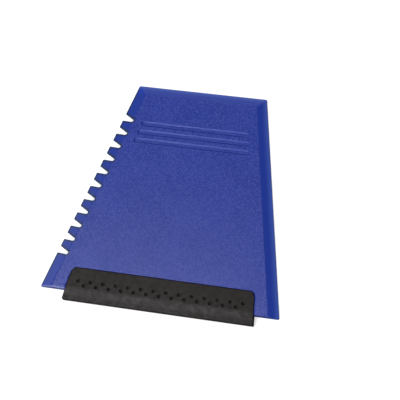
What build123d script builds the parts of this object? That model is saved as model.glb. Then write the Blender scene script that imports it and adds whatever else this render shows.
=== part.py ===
from build123d import *
from math import atan, cos, degrees, hypot, radians, sin, tan
import os

# Flat hand ice scraper: a trapezoid plastic plate with three bevelled edges, a row of notches
# down one side, three finger grooves, and a rubber wiper lip held on the wide edge.
#
# Frame: +Z out of the front face, +Y towards the narrow edge, +X to the right of the front face.
# The origin is the middle of the plate's back face. Millimetres.

# Plate outline and section
WIDE = 125.0            # length of the wide edge, which carries the rubber lip
NARROW = 68.8           # length of the narrow edge
LENGTH = 115.0          # from the wide edge to the narrow edge
PLATE_T = 3.2           # thickness of the flat part
CORNER_R = 0.8          # the four corners, seen from the front
AXIS_X = 0.65           # middle of the finger grooves and of the lip, off the outline's middle

# Bevels: width, and thickness left at the outer edge
TOOTHED_BEVEL = (6.1, 0.5)
PLAIN_BEVEL = (5.1, 0.8)    # on the slanted edge without notches
NARROW_BEVEL = (5.0, 0.8)
WIDE_CHAMFER = (0.75, 2.72)     # the wide edge has only a small one

# Notches down the left slanted edge
NOTCH_COUNT = 11
NOTCH_PITCH = 7.78      # along the slanted edge
NOTCH_START = 21.7      # from the wide edge's corner to the first notch's middle at its mouth
NOTCH_DEPTH = 6.45
NOTCH_HALF_ANGLE = 8.8
NOTCH_LEAN = 0.12       # shift of a notch's middle towards the wide edge per unit of depth
NOTCH_ROOT_R = 0.98
TOOTH_TIP_R = 0.4

# Finger grooves across the front face
GROOVE_COUNT = 3
GROOVE_TOP_Y = 35.8     # middle of the groove nearest the narrow edge
GROOVE_PITCH = 4.68
GROOVE_W = 2.52
GROOVE_FLOOR_W = 1.68
GROOVE_DEPTH = 0.4
GROOVE_MARGIN = 11.1    # from a groove's end to the slanted edge, on average of both ends

# Rubber lip: two legs clasp a thin tongue of the plate, and the free part wipes
LIP_TIP_HALF = 49.9     # half length at the wiping tip
LIP_TOP_HALF = 47.6     # half length at the top of the legs
LIP_COVER = 11.9        # how far the legs reach up the plate
LIP_FREE = 5.3          # how far the lip stands out past the wide edge
LIP_T = 3.6             # over both legs: the front leg stands proud of the plate
LIP_FLANK_DROP = 2.5    # below the wide edge, where the lip stops narrowing
LIP_EDGE_T = 2.9        # thickness there
LIP_TIP_T = 2.8         # thickness at the square wiping tip
LIP_TOP_R = 3.0         # upper corners, seen from the front
LIP_TIP_R = 0.5         # corners at the wiping tip, seen from the front
LEG_EDGE_R = 0.3        # rounded upper edge of the front leg
POCKET_GAP = 0.05       # room between the legs' outline and the plate's rebates
TONGUE_BACK_Z = 0.9
TONGUE_FRONT_Z = 2.3
TONGUE_INSET = 0.9      # the tongue ends this far short of the wide edge

# Anchor studs: rubber pegs through the tongue, dimpled from the front
STUD_PITCH = 6.625      # along a row; the two rows are half a pitch out of step
UPPER_ROW_COUNT = 14
LOWER_ROW_COUNT = 13
UPPER_ROW_RISE = 4.9    # from the wide edge up to the row
LOWER_ROW_RISE = 2.7
STUD_R = 0.95
DIMPLE_R = 0.88         # at the front face
DIMPLE_DEPTH = 0.7      # of its bowl

# Bending line of the lip, modelled as a bead turning in a groove
HINGE_DROP = 1.0        # below the wide edge
HINGE_Z = LIP_T / 2
BEAD_R = 0.9
RUNNING_GAP = 0.05      # radial clearance of the bead
GRIP_END = 0.5          # from the hinge line to the end of the held part
NECK_T = 0.9            # blade thickness between the bead and the shoulder
SHOULDER = 1.3          # from the hinge line to the full-thickness blade

WIDE_Y = -LENGTH / 2
NARROW_Y = LENGTH / 2
HINGE_Y = WIDE_Y - HINGE_DROP
TIP_Y = WIDE_Y - LIP_FREE
LIP_TOP_Y = WIDE_Y + LIP_COVER
SIDE_SLOPE = (WIDE - NARROW) / 2 / LENGTH       # inward run of a slanted edge per unit of Y
SIDE_LENGTH = hypot(LENGTH, (WIDE - NARROW) / 2)
FAR = 40.0              # longer than any cut needs
ON_LINE = 1e-4          # how close to a line still counts as on it


def half_width(y):
    """Half of the plate's width at height y."""
    return WIDE / 2 - (y - WIDE_Y) * SIDE_SLOPE


def polygon(points):
    return make_face(Polyline(*points, close=True))


def side_edge(sign):
    """Coordinate frame on a slanted edge: X up along the edge, Y inwards (left) or outwards."""
    along = Vector(-sign * SIDE_SLOPE, 1, 0).normalized()
    return Plane(origin=(sign * WIDE / 2, WIDE_Y, 0), x_dir=along, z_dir=(0, 0, 1))


def notch():
    """One leaning V notch with a round root: X along the slanted edge, -Y into the plate."""
    apex_depth = NOTCH_DEPTH - NOTCH_ROOT_R + NOTCH_ROOT_R / sin(radians(NOTCH_HALF_ANGLE))
    beyond = 1.0            # the cut starts this far outside the edge
    mouth_half = (apex_depth + beyond) * tan(radians(NOTCH_HALF_ANGLE))
    mouth_x = NOTCH_LEAN * beyond
    wedge = polygon([
        (mouth_x - mouth_half, beyond), (mouth_x + mouth_half, beyond),
        (-NOTCH_LEAN * apex_depth, -apex_depth),
    ])
    return fillet(wedge.vertices().sort_by(Axis.Y)[0], NOTCH_ROOT_R)


def plate_outline():
    corners = [(-WIDE / 2, WIDE_Y), (WIDE / 2, WIDE_Y), (NARROW / 2, NARROW_Y), (-NARROW / 2, NARROW_Y)]
    outline = polygon(corners)
    outline = fillet(outline.vertices(), CORNER_R)
    edge = side_edge(-1)
    for i in range(NOTCH_COUNT):
        outline -= edge * Pos(NOTCH_START + i * NOTCH_PITCH, 0) * notch()
    at_mouths = []
    for corner in outline.vertices():
        place = edge.to_local_coords(Vector(corner.X, corner.Y, 0))
        along_row = NOTCH_START - NOTCH_PITCH < place.X < SIDE_LENGTH - NOTCH_PITCH
        if along_row and abs(place.Y) < ON_LINE:
            at_mouths.append(corner)
    return fillet(at_mouths, TOOTH_TIP_R)


def bevel_cutter(start, end, bevel):
    """Everything above the bevel plane of the edge from start to end, which has the plate on its left."""
    width, rim = bevel
    along = (Vector(*end) - Vector(*start)).normalized()
    inward = Vector(0, 0, 1).cross(along)
    slope = atan((PLATE_T - rim) / width)
    normal = Vector(0, 0, 1) * cos(slope) - inward * sin(slope)
    middle = (Vector(*start) + Vector(*end)) / 2 + Vector(0, 0, rim)
    length = (Vector(*end) - Vector(*start)).length + FAR
    return Plane(origin=middle, x_dir=along, z_dir=normal) * Box(
        length, FAR, FAR, align=(Align.CENTER, Align.CENTER, Align.MIN))


def lip_outline(gap=0.0):
    """The lip seen from the front; gap grows it all round."""
    rise = LIP_TOP_Y - TIP_Y
    lean = (LIP_TIP_HALF - LIP_TOP_HALF) / rise
    top, bottom = LIP_TOP_Y + gap, TIP_Y - gap
    top_half = LIP_TOP_HALF + gap * (1 - lean)
    bottom_half = LIP_TIP_HALF + gap * (1 + lean)
    face = Pos(AXIS_X, 0) * polygon([
        (-bottom_half, bottom), (bottom_half, bottom), (top_half, top), (-top_half, top),
    ])
    upper = face.vertices().group_by(Axis.Y)[-1]
    face = fillet(upper, LIP_TOP_R + gap)
    lower = face.vertices().group_by(Axis.Y)[0]
    return fillet(lower, LIP_TIP_R)


def stud_places():
    rows = [(UPPER_ROW_COUNT, UPPER_ROW_RISE), (LOWER_ROW_COUNT, LOWER_ROW_RISE)]
    return [
        (AXIS_X + (i - (count - 1) / 2) * STUD_PITCH, WIDE_Y + rise)
        for count, rise in rows
        for i in range(count)
    ]


def finger_groove(y):
    """A groove with a flat floor and sloping walls, centred on the grip's axis."""
    length = 2 * (half_width(y) - GROOVE_MARGIN)
    wall = atan((GROOVE_W - GROOVE_FLOOR_W) / 2 / GROOVE_DEPTH)
    mouth = Pos(AXIS_X, y, PLATE_T) * SlotOverall(length, GROOVE_W)
    return extrude(mouth, -GROOVE_DEPTH, taper=degrees(wall))


def make_plate():
    plate = extrude(plate_outline(), PLATE_T)
    right_foot, right_head = (WIDE / 2, WIDE_Y, 0), (NARROW / 2, NARROW_Y, 0)
    left_head, left_foot = (-NARROW / 2, NARROW_Y, 0), (-WIDE / 2, WIDE_Y, 0)
    plate -= bevel_cutter(right_foot, right_head, PLAIN_BEVEL)
    plate -= bevel_cutter(right_head, left_head, NARROW_BEVEL)
    plate -= bevel_cutter(left_head, left_foot, TOOTHED_BEVEL)
    plate -= bevel_cutter(left_foot, right_foot, WIDE_CHAMFER)
    for i in range(GROOVE_COUNT):
        plate -= finger_groove(GROOVE_TOP_Y - i * GROOVE_PITCH)
    rebate = lip_outline(POCKET_GAP)
    plate -= Pos(0, 0, TONGUE_FRONT_Z) * extrude(rebate, FAR)
    plate -= Pos(0, 0, TONGUE_BACK_Z) * extrude(rebate, -FAR)
    web_room = Pos(0, WIDE_Y + TONGUE_INSET) * Rectangle(WIDE, FAR, align=(Align.CENTER, Align.MAX))
    plate -= extrude(rebate & web_room, PLATE_T)
    for x, y in stud_places():
        plate -= Pos(x, y, PLATE_T / 2) * Cylinder(STUD_R, PLATE_T)
    return plate


def across(points):
    """A solid bar along X, longer than the lip, whose section has the given (y, z) corners."""
    face = Plane.YZ * polygon(points)
    return extrude(face, FAR * 2, both=True)


def bar(radius):
    """A round bar on the flexing line."""
    return Pos(0, HINGE_Y, HINGE_Z) * Rot(0, 90, 0) * Cylinder(radius, FAR * 4)


def lip_half_thickness(drop):
    """Half of the lip's thickness at a distance below the wide edge."""
    if drop < LIP_FLANK_DROP:
        return (LIP_T + (LIP_EDGE_T - LIP_T) * drop / LIP_FLANK_DROP) / 2
    share = (drop - LIP_FLANK_DROP) / (LIP_FREE - LIP_FLANK_DROP)
    return (LIP_EDGE_T + (LIP_TIP_T - LIP_EDGE_T) * share) / 2


def section(half_profile):
    """A bar along X whose section is the (y, half thickness) profile, mirrored about the lip's middle."""
    front = [(y, HINGE_Z + half) for y, half in half_profile]
    back = [(y, HINGE_Z - half) for y, half in reversed(half_profile)]
    return across(front + back)


def make_lip_grip():
    """The held part of the lip: web, legs, studs and the groove that the blade's bead turns in."""
    end_drop = HINGE_DROP + GRIP_END
    grip = section([
        (LIP_TOP_Y, LIP_T / 2), (WIDE_Y, LIP_T / 2), (WIDE_Y - end_drop, lip_half_thickness(end_drop)),
    ])
    leg_edge = grip.edges().filter_by(Axis.X).group_by(Axis.Y)[-1].sort_by(Axis.Z)[-1]
    grip = fillet(leg_edge, LEG_EDGE_R)
    slot_foot, slot_head = WIDE_Y + TONGUE_INSET, LIP_TOP_Y + LEG_EDGE_R
    grip -= across([
        (slot_foot, TONGUE_BACK_Z), (slot_foot, TONGUE_FRONT_Z),
        (slot_head, TONGUE_FRONT_Z), (slot_head, TONGUE_BACK_Z),
    ])
    for x, y in stud_places():
        grip += Pos(x, y, LIP_T / 2) * Cylinder(STUD_R, LIP_T)
    bowl_r = (DIMPLE_R ** 2 + DIMPLE_DEPTH ** 2) / 2 / DIMPLE_DEPTH
    for x, y in stud_places():
        grip -= Pos(x, y, LIP_T - DIMPLE_DEPTH + bowl_r) * Sphere(bowl_r)
    grip -= bar(BEAD_R + RUNNING_GAP)
    return grip & extrude(lip_outline(), LIP_T)


def make_lip_blade():
    """The free wiping edge of the lip, with the bead it turns on."""
    shoulder_drop = HINGE_DROP + SHOULDER
    neck = section([(HINGE_Y, NECK_T / 2), (HINGE_Y - SHOULDER, NECK_T / 2)])
    blade = section([
        (WIDE_Y - drop, lip_half_thickness(drop)) for drop in (shoulder_drop, LIP_FLANK_DROP, LIP_FREE)
    ])
    return (bar(BEAD_R) + neck + blade) & extrude(lip_outline(), LIP_T)


os.makedirs("parts", exist_ok=True)
export_step(make_plate(), "parts/scraper_plate.step")
export_step(make_lip_grip(), "parts/lip_grip.step")
export_step(make_lip_blade(), "parts/lip_blade.step")
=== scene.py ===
from math import acos, atan2, ceil, cos, hypot, pi, radians, sin, tan

import bpy
import numpy as np
from mathutils import Matrix, Vector
from mathutils.geometry import delaunay_2d_cdt


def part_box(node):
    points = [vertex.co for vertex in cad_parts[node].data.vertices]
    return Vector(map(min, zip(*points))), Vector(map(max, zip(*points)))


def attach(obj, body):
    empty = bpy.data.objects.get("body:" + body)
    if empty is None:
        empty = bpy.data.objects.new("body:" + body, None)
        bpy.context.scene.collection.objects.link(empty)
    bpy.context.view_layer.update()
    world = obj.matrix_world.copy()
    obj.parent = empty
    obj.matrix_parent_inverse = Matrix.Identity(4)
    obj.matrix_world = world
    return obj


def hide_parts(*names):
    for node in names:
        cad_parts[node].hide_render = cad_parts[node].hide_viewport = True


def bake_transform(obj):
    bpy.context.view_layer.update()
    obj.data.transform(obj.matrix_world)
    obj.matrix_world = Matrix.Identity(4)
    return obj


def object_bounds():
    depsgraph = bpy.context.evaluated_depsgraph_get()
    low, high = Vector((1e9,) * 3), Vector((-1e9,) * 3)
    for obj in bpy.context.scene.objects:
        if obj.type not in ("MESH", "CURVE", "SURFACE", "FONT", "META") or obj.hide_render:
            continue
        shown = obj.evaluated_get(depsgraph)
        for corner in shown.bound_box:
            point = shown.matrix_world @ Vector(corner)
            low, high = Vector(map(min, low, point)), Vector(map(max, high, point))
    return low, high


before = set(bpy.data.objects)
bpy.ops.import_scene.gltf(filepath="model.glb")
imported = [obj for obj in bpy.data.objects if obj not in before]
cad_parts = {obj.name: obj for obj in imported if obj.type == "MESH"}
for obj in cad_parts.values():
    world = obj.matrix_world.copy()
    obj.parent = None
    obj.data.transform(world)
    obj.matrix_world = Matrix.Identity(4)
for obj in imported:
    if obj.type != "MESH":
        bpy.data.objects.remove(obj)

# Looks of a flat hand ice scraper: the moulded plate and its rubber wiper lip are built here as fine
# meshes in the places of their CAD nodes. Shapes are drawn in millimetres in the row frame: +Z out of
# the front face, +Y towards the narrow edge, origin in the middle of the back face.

CAD_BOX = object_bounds()
MM = 0.001

# ---------------------------------------------------------------- sizes from the frame, in mm

plate_low, plate_high = (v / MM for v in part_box("scraper_plate"))
grip_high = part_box("lip_grip")[1] / MM
blade_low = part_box("lip_blade")[0] / MM

WIDE_Y, NARROW_Y = plate_low.y, plate_high.y
PLATE_T = plate_high.z
WIDE, NARROW = 125.0, 68.8      # widths of the plate's outline at its two ends, corners sharp
CORNER_R = 0.8
EDGE_R = 0.2                    # rounding of the plate's moulded edges
AXIS_X = 0.65                   # middle of the grooves and of the lip
# width of the bevel and thickness left at its rim: toothed edge, plain slanted edge, narrow edge
BEVELS = ((6.1, 0.5), (5.1, 0.8), (5.0, 0.8))
BEVEL_BLEND = 0.12              # rounding of the crease between bevel and flat face
CHAMFER_RUN, CHAMFER_DROP, CHAMFER_BLEND = 0.75, 0.48, 0.08     # front of the wide edge

NOTCH_COUNT, NOTCH_PITCH, NOTCH_START = 11, 7.78, 21.7
NOTCH_DEPTH, NOTCH_HALF_ANGLE, NOTCH_LEAN = 6.45, radians(8.8), 0.12
NOTCH_ROOT_R, TOOTH_TIP_R = 0.98, 0.4
# Painted shade: a dark line along the teeth uses the distance to their outline.
SHADE_LINE_REACH = 2.0               # how far in from the teeth's outline the distance to it is kept

GROOVE_COUNT, GROOVE_TOP_Y, GROOVE_PITCH = 3, 35.8, 4.68
GROOVE_W, GROOVE_FLOOR_W, GROOVE_DEPTH, GROOVE_MARGIN = 2.52, 1.68, 0.4, 11.1
GROOVE_BLEND = 0.06             # rounding at the grooves' rims and floor edges
# The grooves' walls also carry painted light and shade, reaching as far as their smooth finish.
WALL_FRINGE, WALL_FADE = 0.11, 0.09     # how far the walls' smooth finish reaches past them

LIP_T = grip_high.z
LIP_TOP_Y, LIP_TIP_Y = grip_high.y, blade_low.y
LIP_TIP_HALF, LIP_TOP_HALF = 49.9, 47.6         # half lengths of the lip's lower and upper edges
LIP_FLANK_DROP, LIP_EDGE_T, LIP_TIP_T = 2.5, 2.9, 2.8
LIP_TOP_R, LIP_TIP_R = 3.0, 0.5
LIP_ROUND, LIP_BACK_ROUND = 0.3, 0.12           # rounding of its front and back edges
LIP_FLANK_BLEND, LIP_EDGE_BLEND = 0.2, 0.03
POCKET_GAP = 0.05
TONGUE_BACK_Z, TONGUE_FRONT_Z, TONGUE_FOOT_Y = 0.9, 2.3, WIDE_Y + 0.9

STUD_PITCH, STUD_ROWS = 6.625, ((14, 4.9), (13, 2.7))   # each row's count and height above the edge
STUD_R, DIMPLE_R, DIMPLE_DEPTH, DIMPLE_ROUND = 0.95, 0.88, 0.7, 0.12
IN_STUD = 0.99                  # share of a stud's radius within which a triangle belongs to it

SIDE_LENGTH = hypot(NARROW_Y - WIDE_Y, (WIDE - NARROW) / 2)
SIDE_UP = np.array(((WIDE - NARROW) / 2, NARROW_Y - WIDE_Y)) / SIDE_LENGTH    # up the left slanted edge
SIDE_IN = np.array((SIDE_UP[1], -SIDE_UP[0]))                                # from it into the plate


# ---------------------------------------------------------------- flat drawing

def rounded(corners, arc_step=0.12, line_step=0.8):
    """Closed anticlockwise outline through corners (x, y, radius), as an array of points."""
    count = len(corners)
    arcs = []
    for i, (x, y, radius) in enumerate(corners):
        here = np.array((x, y))
        back = np.array(corners[i - 1][:2]) - here
        ahead = np.array(corners[(i + 1) % count][:2]) - here
        back, ahead = back / np.linalg.norm(back), ahead / np.linalg.norm(ahead)
        half = acos(np.clip(back @ ahead, -1, 1)) / 2
        middle = back + ahead
        centre = here + middle / np.linalg.norm(middle) * radius / sin(half)
        start = here + back * radius / tan(half) - centre
        turn = (pi - 2 * half) * np.sign(back[1] * ahead[0] - back[0] * ahead[1])
        steps = max(3, ceil(radius * abs(turn) / arc_step))
        angle = atan2(start[1], start[0]) + turn * np.arange(steps + 1) / steps
        arcs.append(centre + radius * np.stack((np.cos(angle), np.sin(angle)), 1))
    ring = []
    for arc, following in zip(arcs, arcs[1:] + arcs[:1]):
        ring.append(arc)
        gap = following[0] - arc[-1]
        steps = max(1, ceil(np.linalg.norm(gap) / line_step))
        ring.append(arc[-1] + gap * (np.arange(1, steps) / steps)[:, None])
    return np.concatenate(ring)


def inset(ring, distance):
    """The ring moved inwards (to its left) by a small distance."""
    along = np.roll(ring, -1, 0) - np.roll(ring, 1, 0)
    along /= np.linalg.norm(along, axis=1)[:, None]
    return ring + distance * np.stack((-along[:, 1], along[:, 0]), 1)


def circle(centre, radius, steps):
    angle = 2 * pi * np.arange(steps) / steps
    return np.array(centre) + radius * np.stack((np.cos(angle), np.sin(angle)), 1)


def slot_ring(y, half_length, radius, steps=10, line_step=1.5):
    """A round-ended slot along X; half_length reaches the middles of its round ends."""
    turn = -pi / 2 + pi * np.arange(steps + 1) / steps
    right = np.stack((half_length + radius * np.cos(turn), radius * np.sin(turn)), 1)
    count = ceil(2 * half_length / line_step)
    run = np.linspace(half_length, -half_length, count + 1)[1:-1]
    half = np.concatenate((right, np.stack((run, np.full(len(run), radius)), 1)))
    return np.concatenate((half, -half)) + (AXIS_X, y)


def distance_to(ring, points):
    """Distance of each point from the closed ring."""
    best = np.full(len(points), np.inf)
    for start, run in zip(ring, np.roll(ring, -1, 0) - ring):
        share = np.clip((points - start) @ run / (run @ run), 0, 1)
        gap = points - start - share[:, None] * run
        best = np.minimum(best, np.hypot(gap[:, 0], gap[:, 1]))
    return best


def inside(ring, points):
    """Which points lie within the closed ring."""
    found = np.zeros(len(points), bool)
    for a, b in zip(ring, np.roll(ring, -1, 0)):
        if a[1] == b[1]:
            continue
        crosses = (a[1] > points[:, 1]) != (b[1] > points[:, 1])
        reach = a[0] + (points[:, 1] - a[1]) / (b[1] - a[1]) * (b[0] - a[0])
        found ^= crosses & (points[:, 0] < reach)
    return found


class Drawing:
    """Points and must-keep lines of a plan view, in mm, triangulated once."""

    def __init__(self):
        self.points, self.lines = [], []

    def scatter(self, points):
        self.points += [tuple(p) for p in points]

    def strip(self, points, closed=False):
        first = len(self.points)
        self.scatter(points)
        ids = list(range(first, len(self.points)))
        self.lines += list(zip(ids, ids[1:]))
        if closed:
            self.lines.append((ids[-1], ids[0]))

    def triangles(self):
        points = [Vector(p) for p in self.points]
        out = delaunay_2d_cdt(points, self.lines, [], 0, 1e-5)
        return np.array([tuple(p) for p in out[0]]), np.array([tuple(f) for f in out[2]])


def grid(low, high, step):
    """Points of a triangular grid over a box."""
    rows = np.arange(low[1], high[1], step * sin(pi / 3))
    points = [
        (x + (i % 2) * step / 2, y)
        for i, y in enumerate(rows)
        for x in np.arange(low[0], high[0], step)
    ]
    return np.array(points)


# ---------------------------------------------------------------- solid from a drawing

def layered_solid(name, drawing, region_of, layers, surfaces):
    """One closed mesh from a plan view. region_of names each triangle's region, layers lists each
    region's solid stretches as (lower surface, upper surface), and surfaces gives heights over points."""
    points, triangles = drawing.triangles()
    heights = {key: height(points) for key, height in surfaces.items()}
    regions = region_of(points[triangles].mean(1))
    owner = {}
    for region, (a, b, c) in zip(regions, triangles):
        for edge in ((a, b), (b, c), (c, a)):
            owner[edge] = region
    vertices, faces, index = [], [], {}

    def corner(point, surface):
        key = (point, surface)
        if key not in index:
            index[key] = len(vertices)
            x, y = points[point]
            vertices.append((x * MM, y * MM, heights[surface][point] * MM))
        return index[key]

    def solid_between(spans, low, high):
        middle = (low + high) / 2
        return any(bottom < middle < top for bottom, top in spans)

    walls, used = [], {}
    for region, (a, b, c) in zip(regions, triangles):
        for bottom, top in layers[region]:
            faces.append((corner(a, top), corner(b, top), corner(c, top)))
            faces.append((corner(c, bottom), corner(b, bottom), corner(a, bottom)))
        for i, j in ((a, b), (b, c), (c, a)):
            other = owner.get((j, i), "void")
            if other == region or not layers[region]:
                continue

            def mean_height(surface):
                return (heights[surface][i] + heights[surface][j]) / 2

            mine, theirs = ([tuple(map(mean_height, pair)) for pair in layers[which]]
                            for which in (region, other))
            names = {s for which in (region, other) for pair in layers[which] for s in pair}
            stack = sorted(sorted(names), key=mean_height)
            for low, high in zip(stack, stack[1:]):
                between = mean_height(low), mean_height(high)
                if solid_between(mine, *between) and not solid_between(theirs, *between):
                    walls.append((i, j, low, high))
                    used.setdefault(i, set()).update((low, high))
                    used.setdefault(j, set()).update((low, high))

    def upright(point, low, high):
        """Corners up a wall's side, with those that neighbouring walls need in between."""
        ends = heights[low][point], heights[high][point]
        inner = [s for s in sorted(used[point]) if ends[0] < heights[s][point] < ends[1]]
        inner.sort(key=lambda s: heights[s][point])
        return [corner(point, s) for s in (low, *inner, high)]

    for i, j, low, high in walls:
        faces.append((*reversed(upright(i, low, high)), *upright(j, low, high)))
    mesh = bpy.data.meshes.new(name)
    mesh.from_pydata(vertices, [], faces)
    mesh.validate()
    mesh.polygons.foreach_set("use_smooth", [True] * len(mesh.polygons))
    obj = bpy.data.objects.new(name, mesh)
    bpy.context.scene.collection.objects.link(obj)
    return obj


def add_value(obj, name, values):
    """Stores one number per vertex for the materials to read."""
    attribute = obj.data.attributes.new(name, "FLOAT", "POINT")
    attribute.data.foreach_set("value", np.asarray(values, np.float32))


def mesh_points(obj):
    """The mesh's vertices, in mm."""
    co = np.zeros(len(obj.data.vertices) * 3)
    obj.data.vertices.foreach_get("co", co)
    return co.reshape(-1, 3) / MM


def level(z):
    """A flat surface at one height."""
    return lambda points: np.full(len(points), z)


def soft_min(a, b, blend):
    """The lower of two heights, rounded where they cross."""
    share = np.clip(0.5 + 0.5 * (b - a) / blend, 0, 1)
    return b * (1 - share) + a * share - blend * share * (1 - share)


def round_over(distance, radius):
    """How far a rounded edge has dropped at a distance in from the edge."""
    reach = np.clip(radius - distance, 0, radius)
    return radius - np.sqrt(radius ** 2 - reach ** 2)


def round_insets(radius, steps=4):
    """Distances in from an edge at which its rounding needs points."""
    return [radius * (1 - cos(pi / 2 * i / steps)) for i in range(1, steps + 1)]


# ---------------------------------------------------------------- plate

def half_width(y):
    """Half of the plate's width at a height, notches ignored."""
    return WIDE / 2 - (y - WIDE_Y) * (WIDE - NARROW) / 2 / (NARROW_Y - WIDE_Y)


def plate_ring():
    """Outline of the plate with its notches, anticlockwise from the wide edge's left corner."""
    foot = np.array((-WIDE / 2, WIDE_Y))
    apex_depth = NOTCH_DEPTH - NOTCH_ROOT_R + NOTCH_ROOT_R / sin(NOTCH_HALF_ANGLE)
    mouth_half = apex_depth * tan(NOTCH_HALF_ANGLE)
    corners = [
        (-WIDE / 2, WIDE_Y, CORNER_R), (WIDE / 2, WIDE_Y, CORNER_R),
        (NARROW / 2, NARROW_Y, CORNER_R), (-NARROW / 2, NARROW_Y, CORNER_R),
    ]
    for i in reversed(range(NOTCH_COUNT)):
        middle = NOTCH_START + i * NOTCH_PITCH
        corners.append((*(foot + SIDE_UP * (middle + mouth_half)), TOOTH_TIP_R))
        apex = SIDE_UP * (middle - NOTCH_LEAN * apex_depth) + SIDE_IN * apex_depth
        corners.append((*(foot + apex), NOTCH_ROOT_R))
        corners.append((*(foot + SIDE_UP * (middle - mouth_half)), TOOTH_TIP_R))
    return rounded(corners)


def lip_ring(gap=0.0):
    """Outline of the lip seen from the front; gap grows it all round."""
    return inset(rounded([
        (AXIS_X - LIP_TIP_HALF, LIP_TIP_Y, LIP_TIP_R), (AXIS_X + LIP_TIP_HALF, LIP_TIP_Y, LIP_TIP_R),
        (AXIS_X + LIP_TOP_HALF, LIP_TOP_Y, LIP_TOP_R), (AXIS_X - LIP_TOP_HALF, LIP_TOP_Y, LIP_TOP_R),
    ], arc_step=0.2), -gap)


def stud_places():
    """Where the studs' axes and the dimples lie."""
    return [
        (AXIS_X + (i - (count - 1) / 2) * STUD_PITCH, WIDE_Y + rise)
        for count, rise in STUD_ROWS
        for i in range(count)
    ]


def tongue_foot(count):
    """A row of points along the tongue's foot."""
    return [(x, TONGUE_FOOT_Y) for x in AXIS_X + np.linspace(-LIP_TIP_HALF, LIP_TIP_HALF, count)]


def near_studs(points):
    """Distance of each point from the nearest stud's axis."""
    best = np.full(len(points), np.inf)
    for x, y in stud_places():
        best = np.minimum(best, np.hypot(points[:, 0] - x, points[:, 1] - y))
    return best


def edge_distances(points):
    """Distances in from the left slanted, right slanted and narrow edges, notches ignored."""
    foot = np.array((-WIDE / 2, WIDE_Y))
    left = (points - foot) @ SIDE_IN
    right = (points * (-1, 1) - foot) @ SIDE_IN
    return left, right, NARROW_Y - points[:, 1]


def bevel_creases(offset):
    """Rows of points along the bevels' inner edges, offset inwards."""
    left, right = np.array((-WIDE / 2, WIDE_Y)), np.array((WIDE / 2, WIDE_Y))
    mirror = np.array((-1, 1))
    left_in, right_in, top_in = (width + offset for width, _ in BEVELS)
    left = left + SIDE_IN * left_in
    right = right + SIDE_IN * mirror * right_in
    top_y, foot_y = NARROW_Y - top_in, TONGUE_FOOT_Y

    def at_height(start, way, y):
        return start + way * (y - start[1]) / way[1]

    foot_a, a = (at_height(left, SIDE_UP, y) for y in (foot_y, top_y))
    foot_b, b = (at_height(right, SIDE_UP * mirror, y) for y in (foot_y, top_y))
    return [p + (q - p) * np.linspace(0, 1, n)[1:-1, None] for p, q, n in
            ((foot_a, a, 150), (foot_b, b, 150), (a, b, 70))]


def groove_lines():
    """(y, half length to the middle of the round end) of each finger groove."""
    for i in range(GROOVE_COUNT):
        y = GROOVE_TOP_Y - i * GROOVE_PITCH
        yield y, half_width(y) - GROOVE_MARGIN - GROOVE_W / 2


def from_grooves(points):
    """Distance of each point from the middle line of the nearest groove."""
    best = np.full(len(points), np.inf)
    for y, half_length in groove_lines():
        along = np.maximum(np.abs(points[:, 0] - AXIS_X) - half_length, 0)
        best = np.minimum(best, np.hypot(along, points[:, 1] - y))
    return best


def sunny_side(points):
    """Mask of the groove walls' painted light: 1 on the narrow edge's side of a groove, 0 on its other
    side and at its left end.
    """
    best, sunny = np.full(len(points), np.inf), np.zeros(len(points))
    for y, half_length in groove_lines():
        x = points[:, 0] - AXIS_X
        beyond = x - np.clip(x, -half_length, half_length)
        away = np.hypot(beyond, points[:, 1] - y)
        facing = (points[:, 1] - y + np.minimum(beyond, 0)) / np.maximum(away, 1e-6)
        sunny = np.where(away < best, np.clip(0.5 + facing, 0, 1), sunny)
        best = np.minimum(best, away)
    return sunny


def groove_depth(points):
    """Depth of the finger grooves: sloping walls and a flat floor, softened at rim and floor."""
    wall = (GROOVE_W - GROOVE_FLOOR_W) / 2
    slope = GROOVE_DEPTH * (GROOVE_W / 2 - from_grooves(points)) / wall
    floored = soft_min(slope, np.full(len(points), GROOVE_DEPTH), GROOVE_BLEND)
    return -soft_min(-floored, np.zeros(len(points)), GROOVE_BLEND)


def groove_radii():
    """Offsets from a groove's middle line at which its mesh needs points, close together at its
    rim and at the edge of its floor."""
    rim, foot, near = GROOVE_W / 2, GROOVE_FLOOR_W / 2, (0.02, 0.06, 0.11)
    beside = [edge + side * step for edge in (rim, foot) for side in (1, -1) for step in near]
    return sorted([rim + 0.3, rim + 0.16, rim - 0.16, foot - 0.25, foot - 0.5] + beside, reverse=True)


def groove_walls(points):
    """1 on the grooves' sloping walls, fading to 0 on the flat face and on their floors."""
    across = from_grooves(points)
    outer = np.clip((GROOVE_W / 2 + WALL_FRINGE - across) / WALL_FADE, 0, 1)
    inner = np.clip((across - GROOVE_FLOOR_W / 2 + WALL_FRINGE) / WALL_FADE, 0, 1)
    return outer * inner


def in_studs(points):
    return near_studs(points) <= STUD_R * IN_STUD


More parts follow.
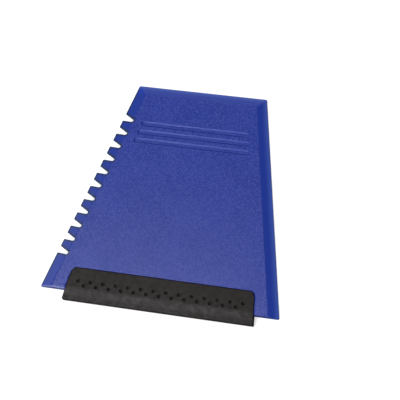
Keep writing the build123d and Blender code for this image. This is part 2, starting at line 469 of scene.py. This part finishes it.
def draw_plate(ring, rebate):
    """Plan of the plate: its outline, the lip's rebate, stud holes, grooves and creases."""
    plan = Drawing()
    plan.strip(ring, closed=True)
    for distance in round_insets(EDGE_R) + [0.45]:
        plan.strip(inset(ring, distance), closed=True)
    for distance in (0.55, 0.65, 0.75, 0.85, 1.0):
        y = WIDE_Y + distance
        plan.strip([(x, y) for x in np.linspace(-WIDE / 2 + 1, WIDE / 2 - 1, 160)])
    plan.strip(rebate, closed=True)
    plan.strip(tongue_foot(120))
    for place in stud_places():
        plan.strip(circle(place, STUD_R, 24), closed=True)
    for y, half_length in groove_lines():
        for radius in groove_radii():
            plan.strip(slot_ring(y, half_length, radius), closed=True)
    for offset in (-0.5, -0.3, -0.15, 0.0, 0.15, 0.3, 0.5):
        for crease in bevel_creases(offset):
            room = inside(ring, crease) & (distance_to(ring, crease) > 0.6)
            plan.scatter(crease[room & ~inside(rebate, crease)])
    free = grid((-WIDE / 2, WIDE_Y), (WIDE / 2, NARROW_Y), 1.3)
    clear = inside(ring, free) & (distance_to(ring, free) > 0.9)
    for distance, (width, _) in zip(edge_distances(free), BEVELS):
        clear &= np.abs(distance - width) > 0.9
    clear &= from_grooves(free) > 2.0
    clear &= ~(inside(rebate, free) & (near_studs(free) < 1.5))
    plan.scatter(free[clear])
    return plan


def mark_plate(obj, ring):
    """Stores what the plastic's material asks for: the finish's regions, the distances to edges, and the
    masks of the painted light and shade.
    """
    where = mesh_points(obj)[:, :2]
    left, right, top = edge_distances(where)
    walls = groove_walls(where)
    shares = [distance / width for distance, (width, _) in zip((left, right, top), BEVELS)]
    add_value(obj, "bevel_share", np.min([*shares, 1.1 - walls], 0))
    add_value(obj, "groove", walls)
    add_value(obj, "sunny", sunny_side(where))
    # Distance in from the plain slanted and narrow edges, which places the painted light on their bevels.
    add_value(obj, "rim", np.minimum(right, top))
    # Painted shade: a dark line along the toothed outline.
    outline = np.minimum(distance_to(ring, where), SHADE_LINE_REACH)
    toothed = (left < NOTCH_DEPTH + SHADE_LINE_REACH) & (np.minimum(where[:, 1] - WIDE_Y, top) > 1.2)
    add_value(obj, "notched_rim", np.where(toothed, outline, SHADE_LINE_REACH))
    # A painted highlight along the middle of the wide edge's chamfer, left of the lip.
    across = np.abs(where[:, 1] - WIDE_Y - CHAMFER_RUN / 2)
    chamfer_highlight = np.clip(1.6 - across / (CHAMFER_RUN / 2), 0, 1)
    add_value(obj, "chamfer_highlight", np.where(where[:, 0] < AXIS_X - LIP_TIP_HALF, chamfer_highlight, 0))


def make_plate():
    ring = plate_ring()
    rebate = lip_ring(POCKET_GAP)

    def front(points):
        height = np.full(len(points), PLATE_T)
        for distance, (width, rim) in zip(edge_distances(points), BEVELS):
            height = soft_min(height, rim + (PLATE_T - rim) * distance / width, BEVEL_BLEND)
        chamfer = PLATE_T - CHAMFER_DROP + (points[:, 1] - WIDE_Y) * CHAMFER_DROP / CHAMFER_RUN
        height = soft_min(height, chamfer, CHAMFER_BLEND)
        height -= round_over(distance_to(ring, points), EDGE_R)
        return height - groove_depth(points)

    def back(points):
        return round_over(distance_to(ring, points), EDGE_R)

    def region_of(centres):
        in_plate, in_rebate = inside(ring, centres), inside(rebate, centres)
        tongue = in_rebate & (centres[:, 1] > TONGUE_FOOT_Y) & ~in_studs(centres)
        rebated = np.where(tongue, "tongue", "void")
        return np.where(in_rebate, rebated, np.where(in_plate, "body", "void"))

    obj = layered_solid(
        "plate", draw_plate(ring, rebate), region_of,
        {"body": [("back", "front")], "tongue": [("tongue_back", "tongue_front")], "void": []},
        {
            "front": front, "back": back,
            "tongue_front": level(TONGUE_FRONT_Z), "tongue_back": level(TONGUE_BACK_Z),
        })
    mark_plate(obj, ring)
    return obj


# ---------------------------------------------------------------- rubber lip

def lip_half(points):
    """Half of the lip's thickness: level over the plate, narrowing below it to the wiping edge."""
    drop = WIDE_Y - points[:, 1]
    flank = (LIP_T - (LIP_T - LIP_EDGE_T) * drop / LIP_FLANK_DROP) / 2
    edge_slope = (LIP_EDGE_T - LIP_TIP_T) / (WIDE_Y - LIP_TIP_Y - LIP_FLANK_DROP)
    edge = (LIP_EDGE_T - edge_slope * np.maximum(drop - LIP_FLANK_DROP, 0)) / 2
    half = soft_min(np.full(len(points), LIP_T / 2), flank, LIP_FLANK_BLEND)
    return -soft_min(-half, -edge, LIP_EDGE_BLEND)


def dimples(points):
    """Depth of the round bowls over the studs, each with a rounded rim."""
    ball = (DIMPLE_R ** 2 + DIMPLE_DEPTH ** 2) / 2 / DIMPLE_DEPTH
    away = near_studs(points)
    bowl = np.sqrt(np.maximum(ball ** 2 - away ** 2, 0)) - (ball - DIMPLE_DEPTH)
    return np.maximum(bowl, round_over(np.maximum(away - DIMPLE_R, 0), DIMPLE_ROUND))


def dimple_radii():
    """Circles round a stud's axis at which its mesh needs points."""
    bowl = (0.84, 0.75, 0.6, 0.4, 0.2)
    return (1.3, 1.1, DIMPLE_R + DIMPLE_ROUND, STUD_R, DIMPLE_R + 0.03, DIMPLE_R, *bowl)


def draw_lip(ring):
    """Plan of the lip: its outline, the foot of its slot and its dimples."""
    plan = Drawing()
    plan.strip(ring, closed=True)
    for distance in round_insets(LIP_ROUND) + [0.5]:
        plan.strip(inset(ring, distance), closed=True)
    plan.strip(tongue_foot(150))
    for place in stud_places():
        for radius in dimple_radii():
            plan.strip(circle(place, radius, 24), closed=True)
    free = grid((AXIS_X - LIP_TIP_HALF, LIP_TIP_Y), (AXIS_X + LIP_TIP_HALF, LIP_TOP_Y), 0.7)
    clear = inside(ring, free) & (distance_to(ring, free) > 0.75) & (near_studs(free) > 1.5)
    plan.scatter(free[clear & (np.abs(free[:, 1] - TONGUE_FOOT_Y) > 0.25)])
    return plan


def make_lip():
    ring = lip_ring()
    middle = LIP_T / 2

    def front(points):
        face = middle + lip_half(points) - round_over(distance_to(ring, points), LIP_ROUND)
        return face - dimples(points)

    def back(points):
        return middle - lip_half(points) + round_over(distance_to(ring, points), LIP_BACK_ROUND)

    def region_of(centres):
        legs = (centres[:, 1] > TONGUE_FOOT_Y) & ~in_studs(centres)
        return np.where(inside(ring, centres), np.where(legs, "legs", "web"), "void")

    return layered_solid(
        "wiper_lip", draw_lip(ring), region_of,
        {
            "web": [("back", "front")], "legs": [("back", "slot_back"), ("slot_front", "front")],
            "void": [],
        },
        {
            "front": front, "back": back,
            "slot_back": level(TONGUE_BACK_Z), "slot_front": level(TONGUE_FRONT_Z),
        })


# ---------------------------------------------------------------- materials

class Nodes:
    """Shorthand for building one material's node tree."""

    def __init__(self, name):
        self.material = bpy.data.materials.new(name)
        self.material.use_nodes = True
        self.tree = self.material.node_tree
        self.shader = self.tree.nodes["Principled BSDF"]
        self.place = self.add("ShaderNodeTexCoord").outputs["Object"]

    def add(self, kind, **settings):
        node = self.tree.nodes.new(kind)
        for key, value in settings.items():
            setattr(node, key, value)
        return node

    def link(self, source, target):
        """Feeds an input from another node's output or with a constant."""
        if hasattr(source, "links"):
            self.tree.links.new(source, target)
        else:
            target.default_value = source

    def noise(self, size_mm, detail=2.0, roughness=0.5):
        node = self.add("ShaderNodeTexNoise")
        self.link(self.place, node.inputs["Vector"])
        node.inputs["Scale"].default_value = 1 / (size_mm * MM)
        node.inputs["Detail"].default_value = detail
        node.inputs["Roughness"].default_value = roughness
        return node.outputs["Fac"]

    def math(self, operation, a, b):
        node = self.add("ShaderNodeMath", operation=operation)
        self.link(a, node.inputs[0])
        self.link(b, node.inputs[1])
        return node.outputs[0]

    def span(self, value, low, high, to_low=0.0, to_high=1.0):
        """Maps a value's stretch from low to high onto another, smoothly and clamped."""
        node = self.add("ShaderNodeMapRange", interpolation_type="SMOOTHSTEP")
        self.link(value, node.inputs["Value"])
        ends = {"From Min": low, "From Max": high, "To Min": to_low, "To Max": to_high}
        for key, number in ends.items():
            self.link(number, node.inputs[key])
        return node.outputs["Result"]

    def mix(self, share, a, b):
        node = self.add("ShaderNodeMix", data_type="RGBA")
        self.link(share, node.inputs[0])
        self.link(a, node.inputs[6])
        self.link(b, node.inputs[7])
        return node.outputs[2]

    def value(self, name):
        """A number stored on the mesh by add_value."""
        return self.add("ShaderNodeAttribute", attribute_name=name).outputs["Fac"]

    def bump(self, height, depth_mm, strength=1.0, onto=None):
        node = self.add("ShaderNodeBump")
        node.inputs["Distance"].default_value = depth_mm * MM
        self.link(strength, node.inputs["Strength"])
        self.link(height, node.inputs["Height"])
        if onto is not None:
            self.link(onto, node.inputs["Normal"])
        return node.outputs["Normal"]

    def set(self, **inputs):
        """Feeds the shader's inputs, named with _ for their spaces."""
        for key, source in inputs.items():
            self.link(source, self.shader.inputs[key.replace("_", " ")])


BLUE_DEEP, BLUE_LIGHT = (0.019, 0.045, 0.35, 1), (0.024, 0.053, 0.39, 1)        # the flat face
BLUE_DUST = (0.07, 0.10, 0.5, 1)            # its lighter speckle
# The second bevel colour is painted light: a lighter blue for the bevels of the plain slanted and narrow
# edges.
BLUE_SMOOTH, BLUE_PAINTED_LIT_BEVEL = (0.022, 0.055, 0.40, 1), (0.022, 0.062, 0.49, 1)       # the bevels
# Painted shade and painted light on the groove walls.
BLUE_SHADY, BLUE_SUNNY = (0.005, 0.029, 0.29, 1), (0.045, 0.088, 0.53, 1)       # groove walls
# Painted light at the rims of the plain slanted and narrow edges.
BLUE_PAINTED_RIM_LIGHT = (0.07, 0.14, 0.62, 1)            # rim of the plain slanted and narrow edges
# A painted dark shade line along the teeth, and a painted highlight on the wide edge's chamfer left of
# the lip.
BLUE_PAINTED_SHADE, BLUE_PAINTED_HIGHLIGHT = (0.02, 0.045, 0.12, 1), (0.16, 0.20, 0.58, 1)
BLACK_DEEP, BLACK_LIGHT = (0.0135, 0.0098, 0.0098, 1), (0.0215, 0.0162, 0.0157, 1)
DUST_SHARE, SHADE_LINE_SHARE = 0.6, 0.85
GRAIN = 0.7                                 # strength of the flat face's moulded grain
FACE_ROUGH, BEVEL_ROUGH, ROUGH_SPREAD = 0.2, 0.18, 0.1
FACE_SHEEN, BEVEL_SHEEN = 0.28, 0.33
RUBBER_ROUGH, RUBBER_SPREAD, RUBBER_SHEEN = 0.31, 0.05, 0.13


def plastic_material():
    """Moulded blue plastic: fine grain on the flat face and smooth bevels, with painted light on the
    bevels of the plain slanted and narrow edges, painted light and shade on the groove walls, a painted
    dark shade line along the teeth and a painted highlight on the wide edge's chamfer.
    """
    m = Nodes("scraper_plastic")
    face = m.span(m.value("bevel_share"), 0.98, 1.03)
    grain = m.noise(0.55, 2.0, 0.6)
    fine = m.noise(0.22, 2.0, 0.6)
    speckle = m.noise(0.7, 2.0, 0.5)
    cloud = m.noise(16.0, 2.0)

    blue = m.mix(m.span(cloud, 0.3, 0.7), BLUE_DEEP, BLUE_LIGHT)
    dust = m.math("MULTIPLY", m.span(speckle, 0.42, 0.6), face)
    blue = m.mix(m.math("MULTIPLY", dust, DUST_SHARE), blue, BLUE_DUST)
    # Painted light: the bevels of the plain slanted and narrow edges take the lighter blue.
    lit_bevels = m.span(m.value("rim"), 4.4, 5.3, 1.0, 0.0)
    # Painted light and shade on the groove walls: lit on the narrow edge's side, shaded on the other side
    # and at the left end.
    wall = m.mix(m.value("sunny"), BLUE_SHADY, BLUE_SUNNY)
    smooth = m.mix(lit_bevels, m.mix(m.value("groove"), BLUE_SMOOTH, wall), BLUE_PAINTED_LIT_BEVEL)
    blue = m.mix(m.math("SUBTRACT", 1.0, face), blue, smooth)
    # Painted light, strongest at the rims of the plain slanted and narrow edges and fading over 3.2 mm.
    blue = m.mix(m.span(m.value("rim"), 0.0, 3.2, 1.0, 0.0), blue, BLUE_PAINTED_RIM_LIGHT)
    # Painted shade: a dark line along the toothed edge, fading from 0.4 to 1.6 mm in.
    blue = m.mix(m.span(m.value("notched_rim"), 0.4, 1.6, SHADE_LINE_SHARE, 0.0), blue, BLUE_PAINTED_SHADE)
    # Painted highlight on the wide edge's chamfer, left of the lip.
    blue = m.mix(m.value("chamfer_highlight"), blue, BLUE_PAINTED_HIGHLIGHT)

    strength = m.math("MULTIPLY", face, GRAIN)
    normal = m.bump(grain, 0.09, strength, m.bump(fine, 0.02, strength))
    patchy = m.math("MULTIPLY", m.math("SUBTRACT", speckle, 0.5), ROUGH_SPREAD)
    rough = m.math("ADD", m.span(face, 0, 1, BEVEL_ROUGH, FACE_ROUGH), patchy)
    sheen = m.span(face, 0, 1, BEVEL_SHEEN, FACE_SHEEN)
    m.set(Base_Color=blue, Roughness=rough, Normal=normal, Specular_IOR_Level=sheen)
    return m.material


def rubber_material():
    """Matte warm-black rubber with a faint mould texture and a slight bloom."""
    m = Nodes("lip_rubber")
    grain = m.noise(0.4, 3.0, 0.6)
    mottle = m.noise(3.0, 3.0, 0.6)
    black = m.mix(m.span(mottle, 0.3, 0.7), BLACK_DEEP, BLACK_LIGHT)
    rough = m.span(mottle, 0.3, 0.7, RUBBER_ROUGH + RUBBER_SPREAD, RUBBER_ROUGH - RUBBER_SPREAD)
    normal = m.bump(grain, 0.03, 0.3, m.bump(mottle, 0.1, 0.2))
    m.set(Base_Color=black, Roughness=rough, Normal=normal, Specular_IOR_Level=RUBBER_SHEEN)
    return m.material


# ---------------------------------------------------------------- pieces on their bodies

def finish_piece(obj, material):
    """Gives a piece its material and evens out its shading."""
    obj.data.materials.append(material)
    smoothing = obj.modifiers.new("even_shading", "WEIGHTED_NORMAL")
    smoothing.keep_sharp = True
    return obj


plate = finish_piece(make_plate(), plastic_material())
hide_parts("scraper_plate")
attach(plate, "scraper")

lip = finish_piece(make_lip(), rubber_material())
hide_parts("lip_grip", "lip_blade")
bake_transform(lip)


# ---------------------------------------------------------------- stage, light and camera

# The camera sees a bright white floor. Everything else, the scraper included, sees a dim one.
FLOOR_DIM, FLOOR_WHITE, FLOOR_GLOW = (0.25, 0.25, 0.25, 1), (0.9, 0.9, 0.9, 1), 0.7
FLOOR_HALF, FLOOR_GAP = 3.0, 0.0001     # metres
AMBIENT = 0.18


def floor_material():
    m = Nodes("floor_white")
    seen = m.add("ShaderNodeLightPath").outputs["Is Camera Ray"]
    m.set(Base_Color=m.mix(seen, FLOOR_DIM, FLOOR_WHITE), Roughness=0.8, Emission_Color=FLOOR_WHITE)
    m.set(Emission_Strength=m.math("MULTIPLY", seen, FLOOR_GLOW))
    return m.material


def make_floor():
    mesh = bpy.data.meshes.new("floor")
    half, z = FLOOR_HALF, CAD_BOX[0].z - FLOOR_GAP
    corners = [(-half, -half, z), (half, -half, z), (half, half, z), (-half, half, z)]
    mesh.from_pydata(corners, [], [(0, 1, 2, 3)])
    floor = bpy.data.objects.new("floor", mesh)
    bpy.context.scene.collection.objects.link(floor)
    mesh.materials.append(floor_material())


def soft_light(name, azimuth, elevation, distance, radius, radiance):
    """A round soft box aimed at the origin from an azimuth, anticlockwise from -Y, and an elevation,
    in degrees. Its distance and radius are in metres."""
    azimuth, elevation = radians(azimuth), radians(elevation)
    level_way = Vector((sin(azimuth), -cos(azimuth), 0))
    place = distance * (level_way * cos(elevation) + Vector((0, 0, sin(elevation))))
    lamp = bpy.data.lights.new(name, "AREA")
    lamp.shape, lamp.size = "DISK", 2 * radius
    lamp.energy = radiance * (pi * radius) ** 2
    obj = bpy.data.objects.new(name, lamp)
    bpy.context.scene.collection.objects.link(obj)
    obj.location = place
    obj.rotation_mode = "QUATERNION"
    obj.rotation_quaternion = (-place).to_track_quat("-Z", "Y")


def make_world(brightness):
    world = bpy.data.worlds.new("studio")
    world.use_nodes = True
    world.node_tree.nodes["Background"].inputs["Color"].default_value = (1, 1, 1, 1)
    world.node_tree.nodes["Background"].inputs["Strength"].default_value = brightness
    bpy.context.scene.world = world


def make_camera():
    """Looks down on the scraper from its wide end's right, turned so that it lies aslant."""
    place = Vector((0.233770, -0.277971, 0.822102))
    back = Vector((0.24946979, -0.30946375, 0.91760542))
    up = Vector((-0.11941579, 0.93049864, 0.34627753))
    right = up.cross(back)
    camera = bpy.data.objects.new("camera", bpy.data.cameras.new("camera"))
    bpy.context.scene.collection.objects.link(camera)
    camera.data.sensor_width, camera.data.lens = 36.0, 158.73
    camera.data.clip_start, camera.data.clip_end = 0.05, 20.0
    turn = Matrix((right, up, back)).transposed()
    camera.matrix_world = Matrix.Translation(place) @ turn.to_4x4()
    bpy.context.scene.camera = camera


make_floor()
make_world(AMBIENT)
soft_light("key", azimuth=-28, elevation=35, distance=1.8, radius=0.37, radiance=7.7)
soft_light("overhead", azimuth=-93, elevation=72.5, distance=1.6, radius=0.31, radiance=8.5)
soft_light("backdrop", azimuth=194, elevation=36.5, distance=2.3, radius=1.02, radiance=0.7)
soft_light("side_card", azimuth=-108, elevation=22, distance=2.0, radius=0.3, radiance=1.3)
make_camera()
bpy.context.scene.view_settings.view_transform = "Standard"
